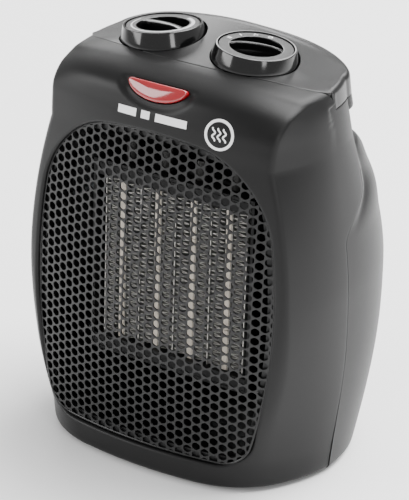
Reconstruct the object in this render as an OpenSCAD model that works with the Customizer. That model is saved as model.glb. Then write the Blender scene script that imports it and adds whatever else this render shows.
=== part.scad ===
// Compact ceramic (PTC) space heater with fan, thermostat and tip-over switch.
// Millimetres. X is the width, -Y is the front, +Z is up, Z = 0 is the floor.

/* [Body] */
// Overall width at the widest point of the casing
body_w = 191; // [180:1:205]
// Overall depth from the chin to the back of the hump
body_d = 161; // [150:1:175]
// Height of the rims of the two controls
body_h = 240; // [230:1:250]
// Wall thickness of the casing mouldings
wall = 2.6; // [2:0.1:3.2]
// Plan radius of the front face
face_r = 265; // [220:5:320]
// Gap between neighbouring mouldings
seam_gap = 0.4; // [0.3:0.1:0.8]

/* [Grille] */
// Widest width of the grille opening
grille_w = 158.6; // [150:0.2:160]
// Lowest edge of the grille opening
grille_z0 = 16.5; // [14:0.5:22]
// Highest edge of the grille opening
grille_z1 = 200; // [190:1:202]
// Centre spacing of the structural holes
grille_pitch = 13; // [12:0.5:20]
// Depth of the mesh behind the casing's face
grille_inset = 2.2; // [1.5:0.1:4]

/* [Heater] */
// Height of the ceramic strips
ptc_h = 97; // [80:1:105]
// Centre spacing of the ceramic strips
ptc_pitch = 23.55; // [20:0.05:24]
// Backward lean of the heater block in degrees
ptc_lean = 3; // [0:0.5:4]
// Depth of the fins from front to back
fin_d = 16; // [12:1:20]

/* [Fan] */
// Diameter of the impeller
fan_dia = 116; // [100:1:118]
// Number of impeller blades
blade_count = 7; // [5:1:9]
// Height of the fan axis
fan_z = 105; // [100:1:108]

/* [Controls] */
// Distance of each control's axis from the middle
knob_x = 30.8; // [30:0.1:32]
// Rim radius of the control bezels
bezel_r = 22; // [21:0.1:23]
// Height of the bezel wall above the panel
bezel_h = 8; // [7:0.5:9]
// Sideways tilt of each control in degrees
knob_roll = 5; // [3:0.5:7]
// Backward tilt of each control in degrees
knob_pitch = 3; // [0:0.5:5]

/* [Hidden] */

charcoal = [0.16, 0.16, 0.165];
gloss_black = [0.05, 0.05, 0.055];
eps = 0.01;
foot_h = 2;
body_z0 = foot_h;

// The widest line of the casing, and the way each outline changes with height
widest_y = -14;
waist_z = 105;
face_lean = 0.00038;

function front_y(z) = -body_d / 2 + face_lean * z * z;
function crease_x(z) =
    let (k = z < waist_z ? 0.0029 : 0.0019)
    max(body_w / 2 - 9.5 - k * pow(min(z, 190) - waist_z, 2), 63);
function side_x(z) =
    body_w / 2 - (z < 110 ? 0.00045 * pow(110 - z, 2) : 0.0145 * pow(z - 110, 1.5));
function hump_y(z) =
    body_d / 2 - (z < waist_z ? 33 * pow((waist_z - z) / waist_z, 2.3)
        : 27 * pow((z - waist_z) / 75, 1.9));

// The grip recess under the rear lip of the top
recess_z0 = 184;
recess_z1 = 203;
recess_y = 12;
lip_y = 34;
function back_y(z) =
    z < recess_z0 - 3 ? hump_y(z) : z < recess_z1 + 2 ? recess_y : lip_y;

function corner_cut(z) = z < 60 ? 8 + 18 * pow(1 - z / 60, 2) : 8;
function bottom_inset(z) = z < body_z0 + 3 ? 3 - sqrt(9 - pow(body_z0 + 3 - z, 2)) : 0;

function bez(p, c, q, n) =
    [for (i = [0:n - 1]) let (u = i / n) p * pow(1 - u, 2) + c * 2 * u * (1 - u) + q * u * u];
function toward(p, q, d) = p + (q - p) * d / norm(q - p);
function flip(pts) = [for (i = [len(pts) - 1:-1:0]) [-pts[i][0], pts[i][1]]];

// Right half of the casing outline at height z, inset by t, from the front to the back
function half_outline(z, t) =
    let (
        xk = crease_x(z) - t,
        a = side_x(z) - t,
        f = front_y(z) + t,
        b = back_y(z) - t,
        cut = corner_cut(z),
        corner = [xk, f + xk * xk / (2 * face_r)],
        shoulder = [a, widest_y - 0.45 * (widest_y - corner[1])],
        arc_x = xk - cut,
        start = [arc_x, f + arc_x * arc_x / (2 * face_r)],
        bend = toward(corner, shoulder, cut),
        nose = [for (i = [0:3]) let (x = arc_x * i / 4) [x, f + x * x / (2 * face_r)]],
        n = 2.5
    )
    concat(
        nose,
        bez(start, corner, bend, 4),
        bez(bend, shoulder, [a, widest_y], 4),
        [for (i = [0:8]) let (u = i * 90 / 8)
            [a * pow(cos(u), 2 / n), widest_y + (b - widest_y) * pow(sin(u), 2 / n)]]
    );
function outline(z, t) =
    let (half = half_outline(z, t), n = len(half))
    concat(half, flip([for (i = [1:n - 2]) half[i]]));

module slice(z, t) {
    translate([0, 0, z])
        linear_extrude(eps)
            polygon(outline(z, t + bottom_inset(z)));
}

slice_z = [body_z0, body_z0 + 1, body_z0 + 3, 14, 28, 44, 62, 82, 105, 128, 146, 160, 172,
    recess_z0 - 3 - eps, recess_z0, recess_z1, recess_z1 + 2, 214, 226, body_h + 2];

module body_loft(t) {
    for (i = [0:len(slice_z) - 2])
        hull() {
            slice(max(slice_z[i], body_z0 + t), t);
            slice(max(slice_z[i + 1], body_z0 + t), t);
        }
}

// Side profile of the rounded brow and the top, and the crown across the top
brow = [[-63, 212], [-61, 218], [-57.5, 223], [-50, 227], [-40, 229.3], [-30, 231]];
crown_r = 240;
crown_z = 236.5;
crown_trim = 0.3;
function lowered(p, t) = [p[0] + t * 0.5, p[1] - t];

module top_limit(t) {
    profile = concat([[-100, -10], [-100, 150], [-72, 190]], brow,
        [[18, crown_z], [27, crown_z - 1.5], [33, crown_z - 6], [lip_y + 4, 214], [100, 190],
        [100, -10]]);
    intersection() {
        rotate([90, 0, 90])
            linear_extrude(2 * body_w, center = true)
                polygon([for (p = profile) lowered(p, t)]);
        translate([0, 0, crown_z + crown_trim - crown_r - t])
            rotate([90, 0, 0])
                cylinder(r = crown_r, h = 3 * body_d, center = true, $fn = 180);
    }
}

module body_solid(t) {
    intersection() {
        body_loft(t);
        top_limit(t);
    }
}

module shell() {
    difference() {
        body_solid(0);
        body_solid(wall);
    }
}

// The seam between the front and rear mouldings steps back under the grip recess
seam_low_y = widest_y;
seam_high_y = 11;
seam_bend_z = [138, 156];

module seam_region(shift) {
    rotate([90, 0, 90])
        linear_extrude(2 * body_w, center = true)
            polygon([[-200, -10], [seam_low_y - 8 + shift, -10], [seam_low_y - 7 + shift, 14],
                [seam_low_y + shift, 80], [seam_low_y + shift, seam_bend_z[0]],
                [(seam_low_y + seam_high_y) / 2 + shift, seam_bend_z[1] - 5],
                [seam_high_y + shift, seam_bend_z[1] + 6], [seam_high_y + shift, 260],
                [-200, 260]]);
}

panel_front_y = -34.5;
panel_corner_r = 26;
panel_corner_x = 38;
panel_corner_w = 40;

module panel_region(grow) {
    translate([0, 0, 212])
        linear_extrude(60)
            offset(r = grow) {
                hull()
                    for (s = [-1, 1])
                        translate([s * panel_corner_x, panel_front_y + panel_corner_r])
                            scale([panel_corner_w / panel_corner_r, 1])
                                circle(panel_corner_r, $fn = 60);
                translate([-120, panel_front_y + panel_corner_r])
                    square([240, 100]);
            }
}

// Outline of the grille opening in the front view
grille_zc = waist_z;
side_arc_r = 290;
crown_arc_r = 200;
module grille_shape(inset) {
    offset(r = -inset)
        offset(r = 12)
            offset(r = -12)
                intersection() {
                    for_side(1);
                    for_side(-1);
                    translate([0, grille_z1 - crown_arc_r])
                        circle(crown_arc_r, $fn = 120);
                    translate([-100, grille_z0])
                        square([200, 200]);
                    grille_shoulders();
                }
}
module for_side(s) {
    translate([s * (grille_w / 2 - side_arc_r), grille_zc])
        circle(side_arc_r, $fn = 180);
}
module grille_shoulders() {
    offset(r = 30)
        offset(r = -30)
            intersection() {
                for_side(1);
                for_side(-1);
                translate([0, grille_z1 - crown_arc_r])
                    circle(crown_arc_r, $fn = 120);
            }
}
module grille_prism(inset) {
    rotate([90, 0, 0])
        linear_extrude(120)
            grille_shape(inset);
}

// Where the indicator sits on the brow
lens_pos = [0, -58.4, 221.9];
lens_tilt = 26;
lens_w = 37;
lens_h = 10;
module lens_shape(grow) {
    offset(r = grow)
        difference() {
            translate([0, lens_h * 0.36])
                scale([lens_w / (2 * lens_h), 1])
                    circle(lens_h, $fn = 64);
            translate([-lens_w, lens_h * 0.36])
                square([2 * lens_w, lens_h * 2]);
        }
}
module on_brow() {
    translate(lens_pos)
        rotate([90 - lens_tilt, 0, 0])
            children();
}

// A control's own frame: origin at the middle of its rim, Z along its axis
knob_y = -8.5;
rim_z = body_h - 2;
module at_control(s) {
    translate([s * knob_x, knob_y, rim_z])
        rotate([-knob_pitch, s * knob_roll, 0])
            children();
}
bezel_base_r = 24;
bezel_skirt = 14;
bezel_bore_r = 20.9;
dial_r = 20.4;
dial_top = -0.6;
well_r = 14.5;
well_depth = 9;

module control_hole(r) {
    for (s = [-1, 1])
        at_control(s)
            translate([0, 0, -30])
                cylinder(r = r, h = 40, $fn = 64);
}

module front_shell() {
    color(charcoal)
        difference() {
            intersection() {
                shell();
                seam_region(0);
            }
            grille_prism(0);
            panel_region(seam_gap);
            control_hole(bezel_base_r + 0.4);
            on_brow()
                translate([0, 0, -15])
                    linear_extrude(30)
                        lens_shape(0.4);
            plunger_window();
        }
}

louvre_w = 104;
louvre_pitch = 9;
louvre_count = 11;
gland_pos = [46, 0, 26];
module rear_shell() {
    color(charcoal)
        difference() {
            shell();
            seam_region(seam_gap);
            panel_region(seam_gap);
            for (i = [0:louvre_count - 1])
                translate([0, 60, fan_z + (i - (louvre_count - 1) / 2) * louvre_pitch])
                    rotate([-12, 0, 0])
                        cube([louvre_w - 5 * pow(i - (louvre_count - 1) / 2, 2) / 4, 70, 4.4],
                            center = true);
            translate([gland_pos[0], 0, gland_pos[2]])
                rotate([-90, 0, 0])
                    cylinder(r = 7.4, h = 100, $fn = 48);
            plunger_window();
        }
}

module top_panel() {
    color([0.2, 0.2, 0.2])
        difference() {
            intersection() {
                shell();
                panel_region(0);
            }
            control_hole(bezel_base_r + 0.4);
        }
}

mesh_t = 1.2;
hole_r = 0.46 * grille_pitch;
module grille_mesh() {
    rows = 15;
    cols = 7;
    color([0.1, 0.1, 0.1])
        difference() {
            intersection() {
                difference() {
                    body_loft(grille_inset);
                    body_loft(grille_inset + mesh_t);
                }
                grille_prism(0.5);
            }
            for (row = [0:rows - 1], col = [-cols:cols]) {
                x = (col + (row % 2) / 2) * grille_pitch;
                z = grille_z0 + 9 + row * grille_pitch * sin(60);
                if (abs(x) < 72 && z < grille_z1 - 8)
                    translate([x, 0, z])
                        rotate([90, 30, 0])
                            cylinder(r = hole_r * 0.92, h = 120, $fn = 6);
            }
        }
}

// The ring that clamps the mesh from behind
ring_t = 2.6;
ring_w = 5;
module grille_ring() {
    ring_inset = grille_inset + mesh_t + 0.3;
    color(gloss_black)
        intersection() {
            difference() {
                body_loft(ring_inset);
                body_loft(ring_inset + ring_t);
            }
            difference() {
                grille_prism(-1);
                grille_prism(ring_w);
            }
            translate([-100, -100, 0])
                cube([200, 60, 220]);
        }
}

module indicator_lens() {
    color([0.8, 0.15, 0.15])
        on_brow()
            translate([0, 0, -6])
                linear_extrude(7.4)
                    lens_shape(0);
}

module indicator_lamp() {
    color([0.9, 0.5, 0.3])
        on_brow()
            translate([0, 0, -15]) {
                cylinder(r = 3, h = 7, $fn = 24);
                translate([0, 0, -4])
                    cube([20, 8, 8], center = true);
            }
}

// Three plain bars and a plain ring printed on the face, as thin raised ink
ink_t = 0.25;
word_bars = [[-15.5, 14], [-3.5, 7.5], [13, 22]];
module front_marking() {
    color("white")
        intersection() {
            difference() {
                body_loft(-ink_t);
                body_loft(-0.02);
            }
            rotate([90, 0, 0])
                linear_extrude(120) {
                    for (b = word_bars)
                        translate([b[0], 208.5])
                            square([b[1] - 2, 4.2], center = true);
                    translate([42.5, 207])
                        difference() {
                            circle(8.6, $fn = 48);
                            circle(6.8, $fn = 48);
                        }
                }
        }
}

module bezel(s) {
    color(gloss_black)
        at_control(s)
            rotate_extrude($fn = 96)
                polygon([[bezel_bore_r, 0], [bezel_r - 0.5, 0], [bezel_r, -0.5],
                    [bezel_base_r, -bezel_h], [bezel_base_r, -bezel_skirt],
                    [17, -bezel_skirt], [17, -bezel_skirt + 1.6],
                    [bezel_bore_r, -bezel_skirt + 1.6]]);
}
module thermostat_bezel() { bezel(-1); }
module mode_bezel() { bezel(1); }

// A silver ring inlaid on the dial, which grows thicker towards the warm end
ring_height = 0.2;
module thermostat_dial_ring() {
    color([0.85, 0.85, 0.85])
        at_control(-1)
            translate([0, 0, dial_top + 0.01])
                difference() {
                    cylinder(r = dial_r - 1.8, h = ring_height, $fn = 96);
                    translate([-0.9, -0.4, -1])
                        cylinder(r = dial_r - 3.4, h = 3, $fn = 96);
                }
}

// Off, fan, low and high, one step apart round the dial
step_angle = 28;
mark_angle = 97;
mark_r = 17.3;
module mark_bars(count) {
    for (j = [0:count - 1])
        translate([0, (j - (count - 1) / 2) * 1.4, ring_height / 2])
            cube([2.4, 0.7, ring_height], center = true);
}
module mode_dial_marks() {
    color("white")
        at_control(1)
            translate([0, 0, dial_top + 0.01]) {
                rotate([0, 0, mark_angle])
                    translate([mark_r, 0, 0])
                        difference() {
                            cylinder(r = 1.3, h = ring_height, $fn = 32);
                            translate([0, 0, -1])
                                cylinder(r = 0.75, h = 3, $fn = 32);
                        }
                for (i = [0:2])
                    rotate([0, 0, mark_angle + step_angle])
                        translate([mark_r, 0, 0])
                            rotate([0, 0, i * 120])
                                translate([0.95, 0, ring_height / 2])
                                    cube([1.3, 0.9, ring_height], center = true);
                for (i = [1:2])
                    rotate([0, 0, mark_angle + (i + 1) * step_angle])
                        translate([mark_r, 0, 0])
                            mark_bars(i);
            }
}

knob_floor = 1.6;
well_wall = 1.5;
module knob(s, grip_angle, grip_w) {
    base = -well_depth - knob_floor;
    color(gloss_black)
        at_control(s)
            difference() {
                union() {
                    rotate_extrude($fn = 96)
                        polygon([[0, -well_depth], [well_r, -well_depth], [well_r, dial_top],
                            [dial_r, dial_top], [dial_r, dial_top - 2],
                            [well_r + well_wall, dial_top - 2], [well_r + well_wall, base],
                            [0, base]]);
                    rotate([0, 0, grip_angle])
                        translate([0, 0, (dial_top - well_depth) / 2 - 0.2])
                            cube([2 * well_r + 1, grip_w, well_depth + dial_top], center = true);
                    translate([0, 0, base - 5])
                        cylinder(r = 5, h = 5.5, $fn = 48);
                }
                translate([0, 0, base - 6])
                    cylinder(r = shaft_r, h = 7, $fn = 48);
            }
}
thermostat_grip = -12;
mode_grip = 23.5;
module thermostat_knob() { knob(-1, thermostat_grip, 3.4); }
module mode_knob() { knob(1, mode_grip, 2.6); }

shaft_r = 3;
shaft_len = 16;
module control_shaft(s) {
    color("silver")
        at_control(s)
            translate([0, 0, -well_depth - knob_floor + 1 - shaft_len])
                cylinder(r = shaft_r, h = shaft_len, $fn = 48);
}
module thermostat_shaft() { control_shaft(-1); }
module mode_shaft() { control_shaft(1); }

// The folded plate that carries both controls
bracket_drop = 21;
bush_r = 4.6;
module control_bracket() {
    color("silver")
        difference() {
            union() {
                for (s = [-1, 1])
                    at_control(s)
                        translate([0, 0, -bracket_drop])
                            cube([44, 40, 1.2], center = true);
                translate([0, knob_y, rim_z - bracket_drop - 1.2])
                    cube([26, 40, 1.2], center = true);
            }
            for (s = [-1, 1])
                at_control(s)
                    translate([0, 0, -bracket_drop - 3])
                        cylinder(r = bush_r + 0.1, h = 6, $fn = 48);
        }
}

module bush() {
    difference() {
        cylinder(r = bush_r, h = 6, $fn = 48);
        translate([0, 0, -12])
            cylinder(r = shaft_r + 0.05, h = 30, $fn = 48);
    }
}
module thermostat_body() {
    color([0.85, 0.8, 0.7])
        at_control(-1)
            translate([0, 0, -bracket_drop - 1.5])
                difference() {
                    union() {
                        bush();
                        translate([0, 0, -6])
                            cylinder(r = 11, h = 6, $fn = 48);
                        translate([0, 0, -9])
                            cube([30, 9, 5], center = true);
                    }
                    translate([0, 0, -4.5])
                        cylinder(r = shaft_r + 0.05, h = 12, $fn = 48);
                }
}
module rotary_switch_body() {
    color([0.15, 0.15, 0.17])
        at_control(1)
            translate([0, 0, -bracket_drop - 1.5])
                difference() {
                    union() {
                        bush();
                        translate([0, 0, -7])
                            cube([28, 28, 14], center = true);
                        for (i = [-1:1])
                            translate([i * 8, 0, -17])
                                cube([6.3, 0.8, 8], center = true);
                    }
                    translate([0, 0, -4.5])
                        cylinder(r = shaft_r + 0.05, h = 12, $fn = 48);
                }
}

// The heater block's own frame: origin at its middle on the front face, leaning back
ptc_z = 107;
ptc_y = -43.2;
strip_w = 5;
plate_t = 0.8;
fin_w = (ptc_pitch - strip_w - plate_t) / 2;
block_w = 4 * ptc_pitch + plate_t;
module at_heater() {
    translate([0, ptc_y, ptc_z])
        rotate([-ptc_lean, 0, 0])
            children();
}

module ptc_strips() {
    color([0.75, 0.72, 0.66])
        at_heater()
            for (i = [-1.5:1.5])
                translate([i * ptc_pitch, fin_d / 2, 0])
                    cube([strip_w, fin_d - 1, ptc_h], center = true);
}

fin_pitch = 4.85;
module ptc_fins() {
    rows = floor(ptc_h / fin_pitch);
    color([0.62, 0.62, 0.6])
        at_heater()
            for (i = [-1.5:1.5], s = [-1, 1], r = [0:rows - 1])
                translate([i * ptc_pitch + s * (strip_w + fin_w) / 2, fin_d / 2,
                    (r - (rows - 1) / 2) * fin_pitch])
                    rotate([0, (r % 2) * 36 - 18, 0])
                        cube([fin_w - 1.6, fin_d - 2, 0.6], center = true);
}

module ptc_plates() {
    color([0.7, 0.7, 0.68])
        at_heater()
            for (i = [-2:2])
                translate([i * ptc_pitch, fin_d / 2, 0])
                    cube([plate_t, fin_d - 1, ptc_h], center = true);
}

holder_h = 7;
module ptc_end_holders() {
    color([0.12, 0.12, 0.12])
        at_heater()
            for (s = [-1, 1])
                translate([0, fin_d / 2, s * (ptc_h + holder_h) / 2])
                    difference() {
                        cube([block_w + 8, fin_d + 6, holder_h - 0.1], center = true);
                        for (i = [-1.5:1.5])
                            translate([i * ptc_pitch, 0, 0])
                                cube([4.4, 4.4, holder_h + 2], center = true);
                    }
}

module ptc_terminals() {
    color([0.8, 0.7, 0.4])
        at_heater()
            for (i = [-1.5:1.5])
                translate([i * ptc_pitch, fin_d / 2, ptc_h / 2 + 7])
                    cube([3.6, 0.8, 13.6], center = true);
}

module insulating_sleeves() {
    color([0.95, 0.95, 0.93])
        at_heater()
            for (i = [-1.5:1.5])
                translate([i * ptc_pitch, fin_d / 2, ptc_h / 2 + holder_h + 7])
                    difference() {
                        cylinder(r = 3.2, h = 12, center = true, $fn = 32);
                        cylinder(r = 2.4, h = 13, center = true, $fn = 32);
                    }
}

module thermal_cutout() {
    color([0.3, 0.3, 0.32])
        at_heater()
            translate([30, fin_d + 5, ptc_h / 2 - 10]) {
                rotate([90, 0, 0])
                    cylinder(r = 7.5, h = 6, center = true, $fn = 48);
                translate([0, 0, 8])
                    cube([24, 1, 9], center = true);
            }
}

duct_t = 1.8;
module heater_duct() {
    outer_w = block_w + 12;
    outer_h = ptc_h + 2 * holder_h + 4;
    color([0.07, 0.07, 0.07])
        at_heater()
            translate([0, fin_d / 2 + 3, 0])
                difference() {
                    cube([outer_w, fin_d + 12, outer_h], center = true);
                    cube([outer_w - 2 * duct_t, fin_d + 14, outer_h - 2 * duct_t], center = true);
                    translate([0, -3, outer_h / 2])
                        cube([outer_w - 20, 9, 10], center = true);
                }
}

// Fan parts share one axis along Y
fan_y = 4;
fan_gap = 2;
shaft_d = 5;
module along_fan(y) {
    translate([0, y, fan_z])
        rotate([-90, 0, 0])
            children();
}

shroud_w = 142;
module fan_shroud() {
    color([0.1, 0.1, 0.1])
        along_fan(fan_y - 9)
            difference() {
                union() {
                    translate([0, 0, 1])
                        cube([shroud_w, shroud_w, 2], center = true);
                    cylinder(r = fan_dia / 2 + fan_gap + 2, h = 24, $fn = 96);
                }
                translate([0, 0, -1])
                    cylinder(r = fan_dia / 2 + fan_gap, h = 30, $fn = 96);
            }
}

hub_r = 17;
module fan_impeller() {
    blade_len = fan_dia / 2 - hub_r + 1;
    color([0.3, 0.3, 0.32])
        along_fan(fan_y)
            difference() {
                union() {
                    cylinder(r = hub_r, h = 14, center = true, $fn = 64);
                    for (i = [0:blade_count - 1])
                        rotate([0, 0, i * 360 / blade_count])
                            translate([hub_r - 1 + blade_len / 2, 0, 0])
                                rotate([32, 0, 0])
                                    cube([blade_len, 22, 1.6], center = true);
                }
                translate([0, 0, -20])
                    cylinder(r = shaft_d / 2, h = 60, $fn = 32);
                translate([0, 0, -4])
                    difference() {
                        cylinder(r = hub_r - 2, h = 20, $fn = 64);
                        translate([0, 0, -1])
                            cylinder(r = 5, h = 22, $fn = 32);
                    }
            }
}

motor_y = 36;
stator_t = 18;
rotor_r = 12;
module fan_shaft() {
    color("silver")
        along_fan(fan_y - 8)
            cylinder(r = shaft_d / 2, h = 56, $fn = 32);
}
module motor_rotor() {
    color([0.55, 0.55, 0.57])
        along_fan(motor_y - stator_t / 2)
            difference() {
                cylinder(r = rotor_r, h = stator_t, $fn = 64);
                translate([0, 0, -1])
                    cylinder(r = shaft_d / 2, h = stator_t + 2, $fn = 32);
            }
}
stator_w = 54;
coil_z = 27;
module motor_stator() {
    color([0.45, 0.46, 0.48])
        along_fan(motor_y)
            difference() {
                translate([0, -8, 0])
                    cube([stator_w, stator_w + 8, stator_t], center = true);
                cylinder(r = rotor_r + 0.6, h = stator_t + 2, center = true, $fn = 64);
                for (s = [-1, 1])
                    translate([s * 15, -coil_z, 0])
                        cube([14, 14, stator_t + 2], center = true);
            }
}
module motor_coil() {
    color([0.7, 0.35, 0.15])
        along_fan(motor_y)
            translate([0, -coil_z, 0])
                difference() {
                    cube([24, 12.6, stator_t + 10], center = true);
                    cube([16.6, 14, stator_t + 0.6], center = true);
                }
}
module motor_brackets() {
    color([0.7, 0.7, 0.72])
        for (s = [-1, 1])
            along_fan(motor_y + s * (stator_t / 2 + 7))
                difference() {
                    union() {
                        cube([stator_w - 2, 14, 2], center = true);
                        for (t = [-1, 1])
                            translate([t * (stator_w / 2 - 5), 0, -s * 3.4])
                                cube([8, 14, 6.9], center = true);
                        cylinder(r = 8, h = 5, center = true, $fn = 48);
                    }
                    cylinder(r = 5.5, h = 10, center = true, $fn = 48);
                }
}
module motor_bearings() {
    color([0.75, 0.6, 0.35])
        for (s = [-1, 1])
            along_fan(motor_y + s * (stator_t / 2 + 7))
                difference() {
                    cylinder(r = 5.45, h = 5, center = true, $fn = 48);
                    cylinder(r = shaft_d / 2 + 0.04, h = 10, center = true, $fn = 32);
                }
}
module motor_screws() {
    color("silver")
        for (s = [-1, 1])
            along_fan(motor_y + stator_t / 2 + 8.05)
                translate([s * (stator_w / 2 - 5), 0, 0])
                    cylinder(r = 2.8, h = 2, $fn = 32);
}

// Tip-over switch: the floor holds the plunger up while the heater stands
tip_x = -40;
tip_y = 14;
plunger_r = 4;
module plunger_window() {
    translate([tip_x, tip_y, -5])
        cylinder(r = plunger_r + 0.6, h = 20, $fn = 48);
}
module tip_plunger() {
    color([0.85, 0.85, 0.82])
        translate([tip_x, tip_y, 0]) {
            cylinder(r = plunger_r, h = 19.5, $fn = 48);
            translate([0, 0, 10])
                cylinder(r = 6.5, h = 1.6, $fn = 48);
        }
}
module tip_switch_body() {
    color([0.2, 0.2, 0.22])
        difference() {
            union() {
                translate([tip_x, tip_y, 21])
                    cube([22, 22, 12], center = true);
                translate([tip_x, tip_y - 9.6, 13.4])
                    cube([22, 2.8, 17.2], center = true);
                translate([tip_x + 2, tip_y, 32])
                    cube([22, 10, 9], center = true);
            }
            translate([tip_x, tip_y, -1])
                cylinder(r = 7.2, h = 24, $fn = 48);
            translate([tip_x - 2, tip_y, 23])
                cube([24, 8.6, 8.8], center = true);
        }
}
lever_z = 20.2;
lever_len = 9;
lever_pivot_x = tip_x + 7;
module tip_lever() {
    color("silver")
        translate([lever_pivot_x, tip_y, lever_z]) {
            rotate([90, 0, 0])
                cylinder(r = 1, h = 6, center = true, $fn = 32);
            translate([-lever_len / 2, 0, 0])
                cube([lever_len, 5, 0.8], center = true);
        }
}
module tip_spring() {
    color("silver")
        translate([tip_x, tip_y, 12])
            difference() {
                cylinder(r = 6, h = 6, $fn = 48);
                translate([0, 0, -1])
                    cylinder(r = 4.8, h = 8, $fn = 48);
            }
}

module terminal_block() {
    color([0.9, 0.9, 0.87])
        translate([30, 30, 14])
            difference() {
                cube([34, 16, 14], center = true);
                for (i = [-1:1])
                    translate([i * 10, 0, 3])
                        cylinder(r = 3, h = 6, $fn = 32);
            }
}

// Lead wires as simple bent runs between the terminal block, the controls and the heater
wire_r = 1.1;
module wire(pts) {
    for (i = [0:len(pts) - 2])
        hull()
            for (p = [pts[i], pts[i + 1]])
                translate(p)
                    sphere(r = wire_r, $fn = 8);
}
module lead_wires() {
    color([0.75, 0.1, 0.1]) {
        wire([[20, 30, 22.2], [20, 30, 40], [66, 18, 60], [70, 14, 150], [38, 0, 190]]);
        wire([[40, 30, 22.2], [44, 32, 36], [73, 22, 70], [74, 18, 140], [44, -2, 192]]);
        wire([[30, 30, 22.2], [30, 32, 34], [-66, 20, 50], [-72, 14, 150], [-36, -2, 196]]);
    }
}

gland_r = 7;
gland_y = [46, 66];
module cord_gland() {
    color(gloss_black)
        translate([gland_pos[0], gland_y[0], gland_pos[2]])
            rotate([-90, 0, 0])
                difference() {
                    cylinder(r = gland_r, h = gland_y[1] - gland_y[0], $fn = 48);
                    translate([0, 0, -1])
                        cylinder(r = 4, h = 40, $fn = 48);
                }
}

module intake_filter() {
    color([0.2, 0.2, 0.2])
        along_fan(61)
            cube([84, 80, 1.2], center = true);
}

foot_r = 7;
foot_spots = [[52, -36], [56, 22]];
module rubber_feet() {
    color([0.08, 0.08, 0.08])
        for (s = [-1, 1], p = foot_spots)
            translate([s * p[0], p[1], 0])
                cylinder(r = foot_r, h = foot_h, $fn = 48);
}

screw_spots = [[82, 128], [80, 40]];
module case_screws() {
    color("silver")
        for (s = [-1, 1], p = screw_spots)
            translate([s * p[0], -24, p[1]])
                rotate([-90, 0, 0]) {
                    cylinder(r = 1.8, h = 18, $fn = 32);
                    translate([0, 0, 16])
                        cylinder(r = 3.4, h = 2.4, $fn = 32);
                }
}

front_shell();
rear_shell();
top_panel();
grille_mesh();
grille_ring();
indicator_lens();
indicator_lamp();
front_marking();
thermostat_bezel();
thermostat_dial_ring();
thermostat_knob();
thermostat_shaft();
mode_bezel();
mode_dial_marks();
mode_knob();
mode_shaft();
control_bracket();
thermostat_body();
rotary_switch_body();
heater_duct();
ptc_strips();
ptc_fins();
ptc_plates();
ptc_end_holders();
ptc_terminals();
insulating_sleeves();
thermal_cutout();
fan_shroud();
fan_impeller();
fan_shaft();
motor_rotor();
motor_stator();
motor_coil();
motor_brackets();
motor_bearings();
tip_switch_body();
tip_plunger();
tip_lever();
tip_spring();
terminal_block();
lead_wires();
cord_gland();
intake_filter();
rubber_feet();
case_screws();
motor_screws();
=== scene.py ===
import math

import bmesh
import bpy
import numpy as np
from mathutils import Matrix, Vector
from mathutils.bvhtree import BVHTree


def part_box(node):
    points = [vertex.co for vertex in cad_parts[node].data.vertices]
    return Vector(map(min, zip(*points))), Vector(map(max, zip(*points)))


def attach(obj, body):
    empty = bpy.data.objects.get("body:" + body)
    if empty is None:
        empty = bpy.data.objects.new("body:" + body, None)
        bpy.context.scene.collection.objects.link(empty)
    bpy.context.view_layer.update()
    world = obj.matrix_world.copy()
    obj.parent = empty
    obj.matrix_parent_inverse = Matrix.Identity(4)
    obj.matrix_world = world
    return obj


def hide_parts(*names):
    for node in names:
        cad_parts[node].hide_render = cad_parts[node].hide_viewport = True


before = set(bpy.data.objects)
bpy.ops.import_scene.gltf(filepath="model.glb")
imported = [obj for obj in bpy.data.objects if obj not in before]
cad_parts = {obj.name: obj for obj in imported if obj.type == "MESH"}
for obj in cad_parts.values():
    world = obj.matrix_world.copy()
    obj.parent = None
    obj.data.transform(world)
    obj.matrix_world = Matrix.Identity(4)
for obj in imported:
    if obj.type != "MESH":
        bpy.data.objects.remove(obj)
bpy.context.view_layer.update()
MM = 0.001

# ---------------------------------------------------------------- driving dimensions, in millimetres
shell_lo, shell_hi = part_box("front_shell")
rear_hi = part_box("rear_shell")[1]
HALF_W = max(shell_hi.x, rear_hi.x) / MM
FRONT_Y = shell_lo.y / MM
BACK_Y = rear_hi.y / MM
BASE_Z = shell_lo.z / MM
WALL = 2.6
GAP = 0.4
FACE_R = 265
FACE_LEAN = 0.00038
WIDEST_Y = -14
WAIST_Z = 105
BOTTOM_ROUND = 3
SIDE_TOP_Z = 222
PANEL_Z = 212
PANEL_FRONT_Y = -34.5
PANEL_SIDE_Y = -6.5
PANEL_HALF_W = 79.5
SEAM_TOP_Y = 11
RECESS_Y = 12
LIP_Y = 34


def ease(a, b, t):
    """Smooth step of t from a to b."""
    s = np.clip((t - a) / (b - a), 0, 1)
    return s * s * (3 - 2 * s)


def front_y(z):
    return FRONT_Y + FACE_LEAN * z * z


def face_y(x, z):
    return front_y(z) + x * x / (2 * FACE_R)


def crease_x(z):
    k = np.where(z < WAIST_Z, 0.0029, 0.0019)
    return np.maximum(HALF_W - 9.5 - k * (np.minimum(z, 190) - WAIST_Z) ** 2, 63)


def side_x(z):
    low = 0.00045 * np.maximum(110 - z, 0) ** 2
    high = 0.0145 * np.maximum(z - 110, 0) ** 1.5
    return HALF_W - low - high


def hump_y(z):
    low = 33 * (np.maximum(WAIST_Z - z, 0) / WAIST_Z) ** 2.3
    high = 27 * (np.maximum(z - WAIST_Z, 0) / 75) ** 1.9
    return BACK_Y - low - high


def seam_y(z):
    low = -8 * (1 - ease(0, 80, z))
    return WIDEST_Y + low + (SEAM_TOP_Y - WIDEST_Y) * ease(138, 164, z)


def side_at(y, z):
    """Half width of the casing behind its widest line."""
    depth = np.maximum(hump_y(z), 45) - WIDEST_Y
    t = np.clip((y - WIDEST_Y) / depth, 0, 1)
    return side_x(z) * (1 - t**2.5) ** 0.4


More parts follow.
